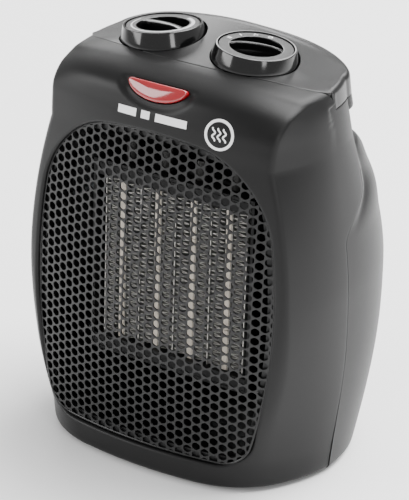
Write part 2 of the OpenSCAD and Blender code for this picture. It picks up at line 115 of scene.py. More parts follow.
def bottom_inset(z):
    d = np.clip(BASE_Z + BOTTOM_ROUND - z, 0, BOTTOM_ROUND)
    return BOTTOM_ROUND - math.sqrt(BOTTOM_ROUND**2 - d * d)


def top_profile(y):
    """Height of the top along the middle, from the panel's front edge to the rear lip."""
    rise = 230.6 + (y - PANEL_FRONT_Y) * 0.112
    return rise - 0.035 * np.maximum(y - 18, 0) ** 2


def top_z(x, y):
    edge_x = np.minimum(76.3 + (y + 26) * 0.14, 79.5)
    power = 3.3 - 1.3 * ease(-30, -4, y)
    drop = (top_profile(y) - SIDE_TOP_Z) * np.minimum(np.abs(x) / edge_x, 1.1) ** power
    return top_profile(y) - drop


def spline(points, steps):
    """Catmull-Rom curve through the points."""
    p = np.array([2 * np.array(points[0]) - points[1], *points, 2 * np.array(points[-1]) - points[-2]], float)
    out = []
    for i in range(1, len(p) - 2):
        for k in range(steps):
            t = k / steps
            a = 2 * p[i]
            b = (p[i + 1] - p[i - 1]) * t
            c = (2 * p[i - 1] - 5 * p[i] + 4 * p[i + 1] - p[i + 2]) * t * t
            d = (3 * p[i] - p[i - 1] - 3 * p[i + 1] + p[i + 2]) * t**3
            out.append((a + b + c + d) / 2)
    out.append(p[-2])
    return np.array(out)


def resample(poly, n):
    """n points spread evenly along a polyline."""
    poly = np.array(poly, float)
    step = np.r_[0, np.cumsum(np.linalg.norm(np.diff(poly, axis=0), axis=1))]
    at = np.linspace(0, step[-1], n)
    return np.stack([np.interp(at, step, poly[:, k]) for k in range(3)], 1)


# ---------------------------------------------------------------- mesh helpers
def new_object(name, verts, faces, smooth=True, merge=0.002):
    """A mesh object from millimetre points, welded and with its normals outward."""
    mesh = bpy.data.meshes.new(name)
    mesh.from_pydata([tuple(float(c) * MM for c in v) for v in verts], [], [tuple(f) for f in faces])
    ob = bpy.data.objects.new(name, mesh)
    bpy.context.scene.collection.objects.link(ob)
    bm = bmesh.new()
    bm.from_mesh(mesh)
    bmesh.ops.remove_doubles(bm, verts=bm.verts, dist=merge * MM)
    bmesh.ops.dissolve_degenerate(bm, edges=bm.edges, dist=1e-7)
    bmesh.ops.recalc_face_normals(bm, faces=bm.faces)
    bm.to_mesh(mesh)
    bm.free()
    for p in mesh.polygons:
        p.use_smooth = smooth
    return ob


def grid_faces(rows, cols, close_rows=False, close_cols=False, base=0):
    faces = []
    for i in range(rows if close_rows else rows - 1):
        for j in range(cols if close_cols else cols - 1):
            a, b = i * cols + j, i * cols + (j + 1) % cols
            c, d = ((i + 1) % rows) * cols + (j + 1) % cols, ((i + 1) % rows) * cols + j
            faces.append((base + a, base + b, base + c, base + d))
    return faces


def apply_modifier(ob, modifier):
    bpy.context.view_layer.objects.active = ob
    bpy.ops.object.modifier_apply(modifier=modifier.name)


def solidify(ob, thickness):
    """Gives a sheet its wall, on the side away from its normals."""
    m = ob.modifiers.new("wall", "SOLIDIFY")
    m.thickness = thickness * MM
    m.offset = -1.0
    m.use_even_offset = False
    apply_modifier(ob, m)


def cut(ob, cutter):
    """Takes the cutter's shape out of the object and removes the cutter."""
    m = ob.modifiers.new("cut", "BOOLEAN")
    m.object = cutter
    m.operation = "DIFFERENCE"
    m.solver = "EXACT"
    apply_modifier(ob, m)
    bpy.data.objects.remove(cutter)


def sharpen(ob, angle=35):
    """Shades the mesh smooth with hard edges above the angle."""
    mesh = ob.data
    for p in mesh.polygons:
        p.use_smooth = True
    bm = bmesh.new()
    bm.from_mesh(mesh)
    for e in bm.edges:
        e.smooth = not (len(e.link_faces) == 2 and e.calc_face_angle(0) > math.radians(angle))
    bm.to_mesh(mesh)
    bm.free()


def plate(outline, z0, z1):
    """Points and faces of a closed outline in x and y, extruded from z0 to z1."""
    n = len(outline)
    verts = [(x, y, z0) for x, y in outline] + [(x, y, z1) for x, y in outline]
    faces = [(i, (i + 1) % n, n + (i + 1) % n, n + i) for i in range(n)]
    return verts, faces + [tuple(range(n))[::-1], tuple(range(n, 2 * n))]


def plate_along_y(outline, y0, y1):
    """Like plate, for an outline in x and z."""
    verts, faces = plate(outline, y0, y1)
    return [(x, y, z) for x, z, y in verts], faces


def lathe(profile, segments=128, matrix=None):
    """Points and faces of a closed profile of (radius, height) turned about Z."""
    verts, faces = [], []
    n = len(profile)
    for i in range(segments):
        a = 2 * math.pi * i / segments
        verts += [(r * math.cos(a), r * math.sin(a), z) for r, z in profile]
    for i in range(segments):
        for j in range(n):
            a, b = i * n + j, i * n + (j + 1) % n
            c, d = ((i + 1) % segments) * n + (j + 1) % n, ((i + 1) % segments) * n + j
            faces.append((a, b, c, d))
    return placed(verts, matrix), faces


def placed(verts, matrix):
    if matrix is None:
        return verts
    return [tuple(matrix @ Vector(v)) for v in verts]


def rounded(profile, radii, steps=5):
    """A closed 2-D profile with each corner rounded by its radius."""
    out = []
    n = len(profile)
    for i in range(n):
        p, q, r = (Vector(profile[(i + k) % n]) for k in (-1, 0, 1))
        rad = radii[i] if isinstance(radii, (list, tuple)) else radii
        if rad <= 0:
            out.append(tuple(q))
            continue
        u, v = (p - q).normalized(), (r - q).normalized()
        reach = min(rad, (p - q).length * 0.48, (r - q).length * 0.48)
        a, b = q + u * reach, q + v * reach
        for k in range(steps + 1):
            t = k / steps
            out.append(tuple(a * (1 - t) ** 2 + q * 2 * t * (1 - t) + b * t * t))
    return out


def join_parts(parts):
    """One list of points and one of faces from several."""
    verts, faces = [], []
    for v, f in parts:
        base = len(verts)
        verts += list(v)
        faces += [tuple(base + i for i in face) for face in f]
    return verts, faces


# ---------------------------------------------------------------- materials
def material(name, colour, roughness, metallic=0.0, vary=0.06, grain=600.0, bump=0.0, soil=3.0,
             coat=0.0, subsurface=0.0, transmission=0.0, specular=0.5, rough_vary=0.08):
    """A procedural finish: broad tone drift, fine grain in the roughness, and a small surface texture."""
    m = bpy.data.materials.new(name)
    m.use_nodes = True
    nodes, links = m.node_tree.nodes, m.node_tree.links
    shader = next(n for n in nodes if n.type == "BSDF_PRINCIPLED")
    where = nodes.new("ShaderNodeTexCoord")
    broad = nodes.new("ShaderNodeTexNoise")
    broad.inputs["Scale"].default_value = 1000 * soil / 100
    broad.inputs["Detail"].default_value = 5
    links.new(where.outputs["Object"], broad.inputs["Vector"])
    ramp = nodes.new("ShaderNodeValToRGB")
    ramp.color_ramp.elements[0].position = 0.3
    ramp.color_ramp.elements[1].position = 0.7
    ramp.color_ramp.elements[0].color = (*[c * (1 - vary) for c in colour], 1)
    ramp.color_ramp.elements[1].color = (*[min(1, c * (1 + vary)) for c in colour], 1)
    links.new(broad.outputs["Fac"], ramp.inputs["Fac"])
    links.new(ramp.outputs["Color"], shader.inputs["Base Color"])
    fine = nodes.new("ShaderNodeTexNoise")
    fine.inputs["Scale"].default_value = grain
    fine.inputs["Detail"].default_value = 3
    links.new(where.outputs["Object"], fine.inputs["Vector"])
    spread = nodes.new("ShaderNodeMapRange")
    spread.inputs["To Min"].default_value = max(0.02, roughness - rough_vary)
    spread.inputs["To Max"].default_value = min(1.0, roughness + rough_vary)
    links.new(fine.outputs["Fac"], spread.inputs["Value"])
    links.new(spread.outputs["Result"], shader.inputs["Roughness"])
    if bump:
        raised = nodes.new("ShaderNodeBump")
        raised.inputs["Strength"].default_value = bump
        raised.inputs["Distance"].default_value = 0.0002
        links.new(fine.outputs["Fac"], raised.inputs["Height"])
        links.new(raised.outputs["Normal"], shader.inputs["Normal"])
    shader.inputs["Metallic"].default_value = metallic
    shader.inputs["Coat Weight"].default_value = coat
    shader.inputs["Coat Roughness"].default_value = 0.06
    shader.inputs["Subsurface Weight"].default_value = subsurface
    shader.inputs["Subsurface Radius"].default_value = (0.004, 0.002, 0.002)
    shader.inputs["Transmission Weight"].default_value = transmission
    shader.inputs["Specular IOR Level"].default_value = specular
    return m


def charcoal(level):
    return (level, level, level * 1.02)


FINISH = {
    "casing": material("casing", charcoal(0.0045), 0.4, grain=2600, bump=0.3, vary=0.08, specular=0.23),
    "panel": material("panel", charcoal(0.006), 0.3, grain=2600, bump=0.2, vary=0.08, specular=0.3),
    "black_steel": material("black_steel", charcoal(0.004), 0.32, grain=900, vary=0.15, specular=0.36),
    "gloss_black": material("gloss_black", charcoal(0.003), 0.12, grain=300, rough_vary=0.03, vary=0.15),
    "satin_black": material("satin_black", charcoal(0.006), 0.36, grain=4000, bump=0.6, vary=0.15),
    "dark_plastic": material("dark_plastic", charcoal(0.005), 0.5, grain=1500, vary=0.15, specular=0.3),
    "lens_red": material("lens_red", (0.26, 0.006, 0.01), 0.1, subsurface=0.1, grain=300, rough_vary=0.03,
                         specular=0.7, coat=0.35),
    "lamp": material("lamp", (0.8, 0.35, 0.2), 0.3, transmission=0.4),
    "white_ink": material("white_ink", (0.82, 0.82, 0.82), 0.55, vary=0.04, grain=3000),
    "silver_trim": material("silver_trim", (0.62, 0.62, 0.63), 0.3, metallic=0.6, grain=2000),
    "zinc_steel": material("zinc_steel", (0.5, 0.51, 0.53), 0.36, metallic=1.0, vary=0.12, grain=900),
    "ceramic": material("ceramic", (0.62, 0.56, 0.48), 0.6, vary=0.16, soil=9, grain=900),
    "aluminium_fin": material("aluminium_fin", (0.45, 0.44, 0.42), 0.4, metallic=0.9, vary=0.2, soil=12),
    "brass_tab": material("brass_tab", (0.62, 0.45, 0.2), 0.35, metallic=1.0, vary=0.12),
    "white_sleeve": material("white_sleeve", (0.78, 0.77, 0.74), 0.6, vary=0.08, soil=12),
    # painted shade: the white insulating sleeves get a near-black colour that stands for the shade they sit
    # in behind the duct's top
    "sleeve_painted_shade": material("sleeve_painted_shade", (0.02, 0.019, 0.018), 0.6, vary=0.15, soil=12),
    "copper_coil": material("copper_coil", (0.6, 0.22, 0.09), 0.32, metallic=1.0, vary=0.15, soil=20),
    "bronze": material("bronze", (0.5, 0.34, 0.16), 0.4, metallic=1.0, vary=0.12),
    "lamination": material("lamination", (0.3, 0.31, 0.33), 0.42, metallic=0.9, vary=0.15, soil=8),
    "natural_nylon": material("natural_nylon", (0.7, 0.68, 0.6), 0.5, vary=0.06, subsurface=0.1),
    "red_insulation": material("red_insulation", (0.45, 0.03, 0.03), 0.45, vary=0.1),
    "rubber": material("rubber", charcoal(0.012), 0.75, grain=1500, bump=0.3, vary=0.15),
}


def finish(ob, look, slot=None, body="casing", replaces=()):
    """Gives a piece its material and body, and hides the CAD nodes that it stands for."""
    ob.data.materials.clear()
    ob.data.materials.append(FINISH[look])
    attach(ob, body)
    slot = slot or look
    if replaces:
        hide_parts(*replaces)
    return ob


# ---------------------------------------------------------------- front shell
def brow_rows():
    """Matching points on the middle line and on the crease as the face rolls over into the top."""
    middle = [(0, front_y(190), 190), (0, front_y(201), 201), (0, -62.6, 212), (0, -58.5, 221.5),
              (0, -48, 227.4), (0, PANEL_FRONT_Y + 1.5, top_profile(PANEL_FRONT_Y + 1.5)),
              (0, -8, top_profile(-8)), (0, 4, top_profile(4))]
    k190 = float(crease_x(np.float64(190)))
    crease = [(k190, face_y(k190, 190), 190), (73, -55.3, 200.5), (74, -52.5, 209.3), (75, -45, 216),
              (75.6, -35.5, 219.8), (76.3, -26, 221.8), (78.9, -7, SIDE_TOP_Z), (79.4, 4, SIDE_TOP_Z)]
    ends = [(z, 0, 0) for z in (190, 196, 201, 205, 208, 210, 212.5, 214)]
    steps = 9
    return spline(middle, steps), spline(crease, steps), spline(ends, steps)[:, 0]


def crease_cut(z):
    """How far the rounding of the crease reaches to each side."""
    return 2.6 + 5.0 * (1 - ease(55, 125, z)) + 16 * max(0.0, 1 - z / 60) ** 2


def half_row(middle, crease, end_z, power, on_top, inset, reach):
    """One row of the front shell from the middle line over the crease to the seam."""
    xk, yk, zk = crease
    n_face, n_round, n_side = 60, 8, 26
    def ribbon(u):
        x = u * xk
        y = middle[1] + (yk - middle[1]) * u**power
        z = middle[2] + (zk - middle[2]) * u**power
        return np.array([x, y, z + (float(top_z(x, y)) - z) * on_top])
    corner = ribbon(1.0)
    stop_y = float(seam_y(np.float64(end_z)))
    turn_y = max(WIDEST_Y, yk)
    def side(t):
        z = zk + (end_z - zk) * t
        wide = float(side_x(np.float64(z))) - inset
        x = (1 - t) ** 2 * corner[0] + (1 - (1 - t) ** 2) * wide
        y = (1 - t) ** 2 * yk + 2 * t * (1 - t) * (turn_y - 0.45 * (turn_y - yk)) + t * t * turn_y
        return np.array([x, y, zk + (end_z - zk) * t * (0.75 if stop_y > WIDEST_Y else 1.0)])
    run = [side(t) for t in np.linspace(0, 1, 80)]
    if stop_y > WIDEST_Y + 0.01:
        z0 = run[-1][2]
        for t in np.linspace(0, 1, 30)[1:]:
            y = turn_y + (stop_y - turn_y) * t
            z = z0 + (end_z - z0) * t
            run.append(np.array([float(side_at(y, np.float64(z))) - inset, y, z]))
    elif stop_y < WIDEST_Y - 0.01:
        run = [p for p in run if p[1] < stop_y] + [next(p for p in run if p[1] >= stop_y) * 1.0]
        run[-1][1] = stop_y
    run = np.array(run)
    length = np.r_[0, np.cumsum(np.linalg.norm(np.diff(run, axis=0), axis=1))]
    start = np.array([np.interp(reach, length, run[:, k]) for k in range(3)])
    rest = np.vstack([start, run[length > reach + 0.05]])
    uc = 1 - reach / xk
    face = [ribbon(u) for u in np.linspace(0, uc, n_face)]
    bend = [face[-1] * (1 - t) ** 2 + corner * 2 * t * (1 - t) + start * t * t
            for t in np.linspace(0, 1, n_round + 2)[1:-1]]
    return np.vstack([face, bend, resample(rest, n_side)])


def mirrored(rows):
    """Full rows from right halves that start on the middle line."""
    full = []
    for h in rows:
        left = h[:0:-1] * np.array([-1, 1, 1])
        full.append(np.vstack([left, h]))
    return full


def front_rows():
    rows = []
    heights = [2, 2.25, 2.9, 3.8, 5] + list(np.linspace(8, 190, 62))[:-1]
    for z in heights:
        inset = bottom_inset(z)
        xk = float(crease_x(np.float64(z))) - inset
        middle = (0, front_y(z) + inset, z)
        rows.append(half_row(middle, (xk, face_y(xk, z) + inset, z), z, 2.0, 0.0, inset, crease_cut(z)))
    mid, cre, ends = brow_rows()
    n = len(mid)
    for i in range(n):
        s = i / 9
        power = 2 + 1.5 * float(ease(0, 4, s))
        reach = 2.6 + 1.4 * float(ease(3, 5, s))
        rows.append(half_row(mid[i], cre[i], float(ends[i]), power, float(ease(4.2, 5, s)), 0.0, reach))
    first = rows[0]
    floor = []
    for t in (1.0, 0.75, 0.5, 0.25):
        r = first.copy()
        r[:, 1] = r[:, 1] + (first[-1, 1] - r[:, 1]) * t
        floor.append(r)
    return mirrored(floor + rows)


def round_both(a, b, r):
    """Signed distance of the overlap of two shapes with its corner rounded by r."""
    return np.minimum(np.maximum(a, b), -r) + np.hypot(np.maximum(a + r, 0), np.maximum(b + r, 0))


GRILLE_W = 158.6
GRILLE_Z = (16.5, 200)
SIDE_ARC_R = 290
CROWN_ARC_R = 200
GRILLE_MID = np.array([0.0, 105.0])


def opening_distance(x, z):
    """Signed distance to the grille opening's outline in the front view, below zero inside."""
    right = np.hypot(x - (GRILLE_W / 2 - SIDE_ARC_R), z - WAIST_Z) - SIDE_ARC_R
    left = np.hypot(x + (GRILLE_W / 2 - SIDE_ARC_R), z - WAIST_Z) - SIDE_ARC_R
    sides = np.maximum(left, right)
    crown = np.hypot(x, z - (GRILLE_Z[1] - CROWN_ARC_R)) - CROWN_ARC_R
    return np.where(z > WAIST_Z, round_both(sides, crown, 30), round_both(sides, GRILLE_Z[0] - z, 14))


def outline_of(distance, middle, directions, grow, low, high):
    """Points of a shape's outline moved outward by grow, found along each direction by halving."""
    low, high = np.full(len(directions), low), np.full(len(directions), high)
    for _ in range(50):
        mid = (low + high) / 2
        p = middle + directions * mid[:, None]
        inside = distance(p[:, 0], p[:, 1]) < grow
        low, high = np.where(inside, mid, low), np.where(inside, high, mid)
    return middle + directions * low[:, None]


def opening_outline(grow, n=240):
    """Points of the opening's outline moved outward by grow."""
    a = np.linspace(0, 2 * np.pi, n, endpoint=False)
    return outline_of(opening_distance, GRILLE_MID, np.stack([np.cos(a), np.sin(a)], 1), grow, 20.0, 150.0)


LIP_R = 1.6
EDGE_R = 0.35


def panel_front(x):
    """Where the panel's front edge runs in plan."""
    share = np.minimum(np.abs(x) / PANEL_HALF_W, 1)
    return PANEL_SIDE_Y + (PANEL_FRONT_Y - PANEL_SIDE_Y) * (1 - share**2.6) ** 0.7


def panel_line():
    """The panel's front edge in plan, from the middle out past the side."""
    x = PANEL_HALF_W * np.sin(np.linspace(0, np.pi / 2, 90))
    return np.vstack([np.c_[x, panel_front(x)], [(2 * PANEL_HALF_W, PANEL_SIDE_Y)]])


def panel_distance(p, grow):
    """Signed distance to the region that the top panel fills, open to the rear."""
    line = panel_line()
    q = np.c_[np.abs(p[:, 0]), p[:, 1]]
    step = np.diff(line, axis=0)
    out = q[:, None, :] - line[None, :-1]
    share = np.clip((out * step).sum(2) / (step**2).sum(1), 0, 1)
    reach = np.linalg.norm(out - share[:, :, None] * step, axis=2).min(axis=1)
    plan = np.where(q[:, 1] < panel_front(q[:, 0]), reach, -reach)
    return np.maximum(plan, PANEL_Z - p[:, 2]) - grow


LENS_AT = Vector((0, -58.4, 221.9))
LENS_TILT = 26
LENS_W = 37
LENS_H = 10
ON_BROW = Matrix.Translation(LENS_AT) @ Matrix.Rotation(math.radians(90 - LENS_TILT), 4, "X")


LENS_TOP = LENS_H * 0.36
LENS_TIP_R = 2.2


def lens_plane_distance(x, y):
    """Signed distance to a half-moon with a straight top edge and rounded tips."""
    dx, dy = x / (LENS_W / 2 + 0.8), (y - LENS_TOP) / LENS_H
    r = np.hypot(dx, dy) + 1e-9
    ellipse = (r - 1) * r / np.hypot(dx / (LENS_W / 2 + 0.8), dy / LENS_H)
    return round_both(ellipse, y - LENS_TOP, LENS_TIP_R)


def lens_outline(n=96):
    """Points of the lens outline."""
    a = np.linspace(0, 2 * np.pi, n, endpoint=False)
    directions = np.stack([np.cos(a), np.sin(a) * 0.5], 1)
    return outline_of(lens_plane_distance, np.array([0.0, -0.5]), directions, 0.0, 1.0, 40.0)


def on_lens_plane(p):
    m = np.array(ON_BROW.inverted())
    return p @ m[:3, :3].T + m[:3, 3]


def lens_distance(p, grow):
    """Signed distance to the lens outline, in the frame of the brow."""
    q = on_lens_plane(p)
    return np.where(q[:, 2] > -14, lens_plane_distance(q[:, 0], q[:, 1]), 50) - grow


DISH_DEPTH = 1.3
DISH_REACH = 6.5


def dished(verts, normals):
    """Sinks a crescent into the brow below and beside the lens."""
    q = on_lens_plane(verts)
    d = np.maximum(lens_distance(verts, 0.0), 0)
    below = 1 - ease(LENS_TOP - 1.5, LENS_TOP + 1.0, q[:, 1])
    depth = DISH_DEPTH * (1 - ease(DISH_REACH * 0.35, DISH_REACH, d)) * below
    return verts - normals * depth[:, None]


def clip_sheet(verts, normals, faces, distance):
    """Cuts away the part of a sheet where distance is below zero, face by face."""
    verts, normals = list(verts), list(normals)
    d = distance(np.array(verts))
    made, kept = {}, []
    def crossing(a, b):
        key = (min(a, b), max(a, b))
        if key not in made:
            t = d[a] / (d[a] - d[b])
            made[key] = len(verts)
            verts.append(verts[a] + (verts[b] - verts[a]) * t)
            n = normals[a] + (normals[b] - normals[a]) * t
            normals.append(n / np.linalg.norm(n))
        return made[key]
    for f in faces:
        inside = [d[i] >= 0 for i in f]
        if all(inside):
            kept.append(tuple(f))
            continue
        if not any(inside):
            continue
        out = []
        for k, i in enumerate(f):
            j = f[(k + 1) % len(f)]
            if inside[k]:
                out.append(i)
            if inside[k] != inside[(k + 1) % len(f)]:
                out.append(crossing(i, j))
        if len(out) > 2:
            kept.append(tuple(out))
    return np.array(verts), np.array(normals), kept


def sheet_of(ob):
    """Points in millimetres, outward normals and faces of a sheet."""
    mesh = ob.data
    verts = np.array([v.co for v in mesh.vertices]) / MM
    normals = np.array([v.normal for v in mesh.vertices])
    return verts, normals, [tuple(p.vertices) for p in mesh.polygons]


def thicken(name, verts, normals, faces, wall, edge_r, steps=5):
    """A closed solid from a sheet, with its edges rounded; edge_r(points) is the rounding at each point."""
    used = sorted({i for f in faces for i in f})
    index = {v: k for k, v in enumerate(used)}
    verts, normals = verts[used], normals[used]
    faces = [tuple(index[i] for i in f) for f in faces]
    n = len(verts)
    directed = {(a, b) for f in faces for a, b in zip(f, f[1:] + f[:1])}
    border = [(a, b) for a, b in directed if (b, a) not in directed]
    out = np.zeros((n, 3))
    for a, b in border:
        along = verts[b] - verts[a]
        length = np.linalg.norm(along)
        if length > 1e-9:
            away = np.cross(along / length, (normals[a] + normals[b]) / 2)
            out[a] += away
            out[b] += away
    rim = sorted({i for e in border for i in e})
    rim_at = {v: k for k, v in enumerate(rim)}
    away = out[rim] / np.maximum(np.linalg.norm(out[rim], axis=1), 1e-9)[:, None]
    p, m = verts[rim], normals[rim]
    r = edge_r(p)[:, None]
    layers = []
    for k in range(1, steps + 1):
        a = k / steps * math.pi / 2
        layers.append(p + away * r * math.sin(a) - m * r * (1 - math.cos(a)))
    layers.append(p + away * r - m * wall)
    all_verts = np.vstack([verts, verts - normals * wall, *layers])
    all_faces = faces + [tuple(n + i for i in f[::-1]) for f in faces]
    count = len(rim)
    for a, b in border:
        chain_a = [a] + [2 * n + k * count + rim_at[a] for k in range(steps + 1)] + [n + a]
        chain_b = [b] + [2 * n + k * count + rim_at[b] for k in range(steps + 1)] + [n + b]
        for k in range(steps + 2):
            all_faces.append((chain_b[k], chain_a[k], chain_a[k + 1], chain_b[k + 1]))
    return new_object(name, all_verts, all_faces, merge=0.0005)


def front_edge_r(p):
    near_grille = opening_distance(p[:, 0], p[:, 2]) < LIP_R + 0.6
    return np.where(near_grille & (p[:, 1] < -40), LIP_R, EDGE_R)


def build_front_shell():
    """Builds the front shell and returns its outer surface, for the marks printed on it."""
    rows = front_rows()
    sheet = new_object("front_sheet", np.vstack(rows), grid_faces(len(rows), len(rows[0])))
    outward(sheet)
    skin = BVHTree.FromPolygons([v.co.copy() for v in sheet.data.vertices],
                                [tuple(p.vertices) for p in sheet.data.polygons])
    verts, normals, faces = sheet_of(sheet)
    part = (dished(verts, normals), normals, faces)
    bpy.data.objects.remove(sheet)
    part = clip_sheet(*part, lambda p: np.where(p[:, 1] < -40,
                                                opening_distance(p[:, 0], p[:, 2]) - LIP_R, 50))
    part = clip_sheet(*part, lambda p: panel_distance(p, GAP + EDGE_R))
    part = clip_sheet(*part, lambda p: lens_distance(p, 0.55 + EDGE_R))
    ob = thicken("front_shell_moulding", *part, WALL, front_edge_r)
    sharpen(ob, 50)
    finish(ob, "casing", replaces=("front_shell",))
    return skin


def outward(ob):
    """Turns an open sheet so that its normals point away from the middle of the casing."""
    mesh = ob.data
    centre = Vector((0, 0, 110 * MM))
    total = sum((p.center - centre).dot(p.normal) * p.area for p in mesh.polygons)
    if total < 0:
        mesh.flip_normals()


skin = build_front_shell()


# ---------------------------------------------------------------- rear shell
HUMP_TOP_Z = 172
HUMP_R = 9.5
CHANNEL_RUN = 9
FLOOR_INSET = WALL + 0.3


def rear_row(z, back, inset, step=0.0, start_y=None):
    """One row of the rear shell from the seam to the middle of the back, stepping in behind the seam."""
    zz = np.float64(z)
    y0 = float(seam_y(zz)) + GAP if start_y is None else start_y
    half = float(side_at(max(y0, WIDEST_Y), zz)) - inset
    pts = []
    for k in range(71):
        a = k / 70 * math.pi / 2
        y = y0 + (back - y0) * math.sin(a) ** 0.8
        inward = step * float(ease(y0, y0 + CHANNEL_RUN, y))
        pts.append(((half - inward) * math.cos(a) ** 0.8, y, z))
    return resample(np.array(pts), 60)[::-1]


def channel(z):
    """How far the rear shell steps in beside the grip recess."""
    return 5.5 * float(ease(140, 168, z))


def build_rear_shell():
    rows = []
    for z in [2, 2.25, 2.9, 3.8, 5] + list(np.linspace(8, HUMP_TOP_Z, 56)):
        inset = bottom_inset(z)
        rows.append(rear_row(z, float(hump_y(np.float64(z))) - inset, inset, channel(z)))
    back = float(hump_y(np.float64(HUMP_TOP_Z)))
    deep = channel(HUMP_TOP_Z + HUMP_R)
    for k in range(1, 9):
        a = k / 8 * math.pi / 2
        inset = FLOOR_INSET * k / 8
        y = back - HUMP_R * (1 - math.cos(a)) - 3 * k / 8
        rows.append(rear_row(HUMP_TOP_Z + HUMP_R * math.sin(a), y, inset, deep + 1.5 * k / 8 - inset))
    for t in np.linspace(0, 1, 8)[1:]:
        y = (back - HUMP_R - 3) * (1 - t) + (RECESS_Y + 3) * t
        rows.append(rear_row(HUMP_TOP_Z + HUMP_R + 1.2 * t, y, FLOOR_INSET, deep + 1.5 - FLOOR_INSET))
    recess = ((183.4, 13.2), (184.6, 12.3), (186.5, RECESS_Y), (191, RECESS_Y), (196, RECESS_Y),
              (200, RECESS_Y), (202, 12.4), (203, 14))
    for z, b in recess:
        rows.append(rear_row(z, b, FLOOR_INSET, deep + 1.5 - FLOOR_INSET))
    for t in np.linspace(0, 1, 6)[1:]:
        inset = min(6 - 5 * t, FLOOR_INSET)
        y = 14 + (LIP_Y - 16) * t
        rows.append(rear_row(203.3 + 1.2 * t, y, inset, 6 - 5 * t - inset, SEAM_TOP_Y + GAP))
    for k in range(1, 6):
        a = k / 5 * math.pi / 2
        rows.append(rear_row(204.5 + 2 * (1 - math.cos(a)), LIP_Y - 2 + 2 * math.sin(a), 1 - math.sin(a)))
    rows.append(rear_row(209, LIP_Y, 0))
    rows.append(rear_row(PANEL_Z - GAP / 2, LIP_Y, 0))
    first = rows[0]
    floor = []
    for t in (1.0, 0.75, 0.5, 0.25):
        r = first.copy()
        r[:, 1] = r[:, 1] + (first[-1, 1] - r[:, 1]) * t
        floor.append(r)
    full = mirrored(floor + rows)
    ob = new_object("rear_shell_moulding", np.vstack(full), grid_faces(len(full), len(full[0])))
    outward(ob)
    solidify(ob, WALL)
    return ob


LOUVRES = 11
LOUVRE_PITCH = 9
LOUVRE_W = 104
LOUVRE_R = 2.2
LOUVRE_TILT = math.radians(-12)
LOUVRE_REACH = 35


def louvre_cutters():
    """Round-ended slots, narrower away from the middle one."""
    parts = []
    for i in range(LOUVRES):
        k = i - (LOUVRES - 1) / 2
        w = LOUVRE_W - 1.25 * k * k
        tilt = Matrix.Translation((0, 60, WAIST_Z + k * LOUVRE_PITCH)) @ Matrix.Rotation(LOUVRE_TILT, 4, "X")
        slot = []
        for s in (1, -1):
            for j in range(13):
                a = j / 12 * math.pi - s * math.pi / 2
                slot.append((s * (w / 2 - LOUVRE_R) + LOUVRE_R * math.cos(a), LOUVRE_R * math.sin(a)))
        verts, faces = plate_along_y(slot, -LOUVRE_REACH, LOUVRE_REACH)
        parts.append((placed(verts, tilt), faces))
    return new_object("louvre_cutter", *join_parts(parts), smooth=False)


rear = build_rear_shell()
cut(rear, louvre_cutters())
gland_lo, gland_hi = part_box("cord_gland")
gland_mid = (gland_lo + gland_hi) / 2 / MM
GLAND_HOLE_R = 7.4
gland_hole = [(gland_mid.x + GLAND_HOLE_R * math.cos(a), gland_mid.z + GLAND_HOLE_R * math.sin(a))
              for a in np.linspace(0, 2 * math.pi, 48, endpoint=False)]
cut(rear, new_object("gland_cutter", *plate_along_y(gland_hole, 20, 100), smooth=False))
sharpen(rear)
finish(rear, "casing", replaces=("rear_shell",))

TONGUE_GAP = 0.6
TONGUE_T = 1.0
TONGUE_Y = (-2.5, 1.4)
LEDGE_Y = (-8.5, 17)
LEDGE_Z = (PANEL_Z - 4, PANEL_Z + 2.2)


def rail(corners):
    """A closed bar through a list of four-cornered sections."""
    last = 4 * (len(corners) - 1)
    faces = grid_faces(len(corners), 4, close_cols=True)
    faces += [(0, 1, 2, 3), (last + 3, last + 2, last + 1, last)]
    return [p for section in corners for p in section], faces


def inner_half(y, z):
    """Half width just inside the casing's wall."""
    return float(side_at(max(y, WIDEST_Y), np.float64(z))) - WALL - TONGUE_GAP


def build_tongue():
    """Thin strips inside the parting lines and under the panel, which cover the gaps."""
    parts = []
    for side in (-1, 1):
        upright, ledge = [], []
        for z in np.linspace(6, LEDGE_Z[0] - 0.5, 60):
            y = float(seam_y(z))
            x = inner_half(y, z)
            low, high = y + TONGUE_Y[0], y + TONGUE_Y[1]
            upright.append([(side * (x - inward), at, z) for inward, at in
                            ((0, low), (0, high), (TONGUE_T, high), (TONGUE_T, low))])
        for y in np.linspace(*LEDGE_Y, 20):
            x = inner_half(y, PANEL_Z)
            low, high = LEDGE_Z
            ledge.append([(side * (x - inward), y, at) for inward, at in
                          ((0, low), (0, high), (TONGUE_T, high), (TONGUE_T, low))])
        parts += [rail(upright), rail(ledge)]
    return finish(new_object("parting_line_tongue", *join_parts(parts), smooth=False), "dark_plastic")


build_tongue()


# ---------------------------------------------------------------- top panel and the controls' places
KNOB_X = 30.8
KNOB_Y = -8.5
RIM_Z = 238
KNOB_ROLL = 5
KNOB_PITCH = 3
BASE_R = 24


def at_control(side):
    """The frame of a control: origin in the middle of its rim, Z along its axis."""
    return (Matrix.Translation((side * KNOB_X, KNOB_Y, RIM_Z))
            @ Matrix.Rotation(math.radians(side * KNOB_ROLL), 4, "Y")
            @ Matrix.Rotation(math.radians(-KNOB_PITCH), 4, "X"))


FOLD_R = 4.0


